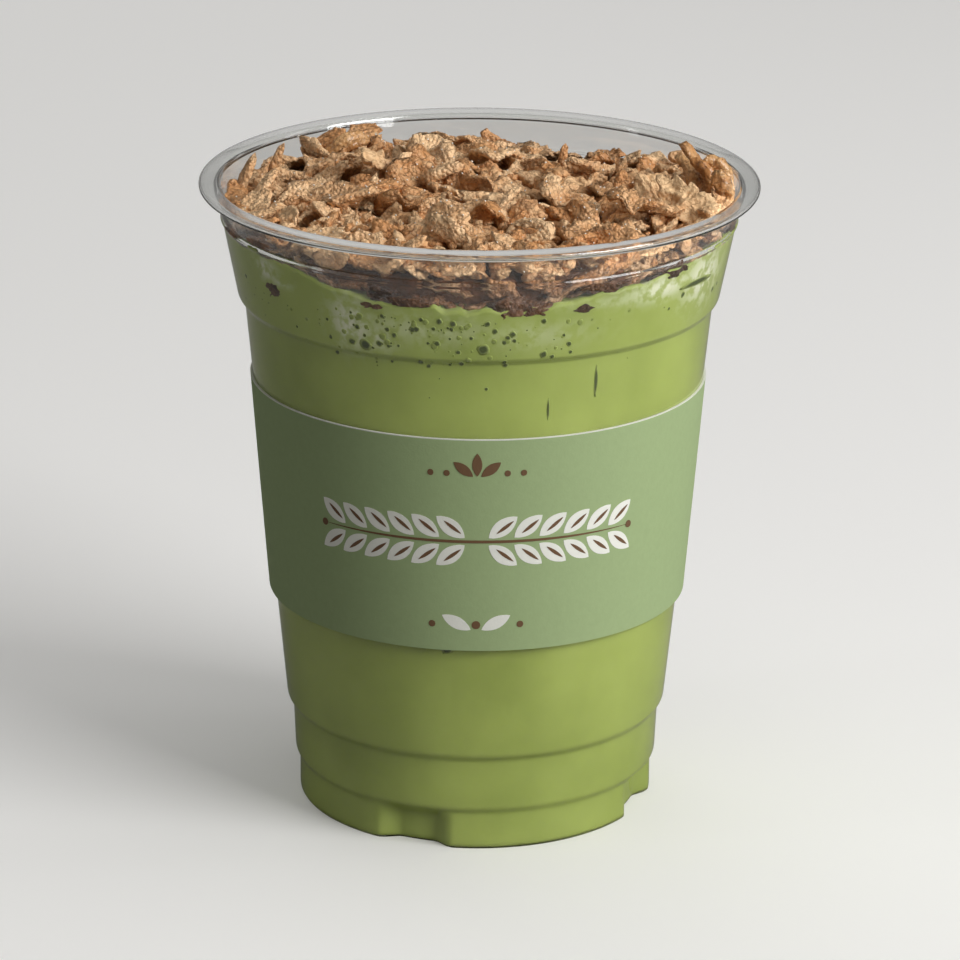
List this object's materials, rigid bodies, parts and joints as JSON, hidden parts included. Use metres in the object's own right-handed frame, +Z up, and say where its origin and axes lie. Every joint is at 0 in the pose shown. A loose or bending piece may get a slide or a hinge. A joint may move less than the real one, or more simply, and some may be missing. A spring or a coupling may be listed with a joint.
{
  "type": "matcha latte",
  "caption": "Iced green tea latte in a clear moulded tumbler with a rolled rim, a paper sleeve round it and a heap of crunchy cereal on top.",
  "frame": {"origin": "middle of the ring the tumbler stands on, at the height of the surface it rests on", "axes": "+Z up along the tumbler's axis, -Y towards the side with the sleeve's print, +Y towards the sleeve's glued lap"},
  "size_m": [0.098, 0.098, 0.1175],
  "materials": {
    "cup": "gloss",
    "sleeve": "matte",
    "drink": "satin",
    "topping": "matte"
  },
  "bodies": {
    "root": {"cup": "cup", "sleeve": "sleeve", "drink": "drink", "topping": "topping"}
  },
  "joints": []
}
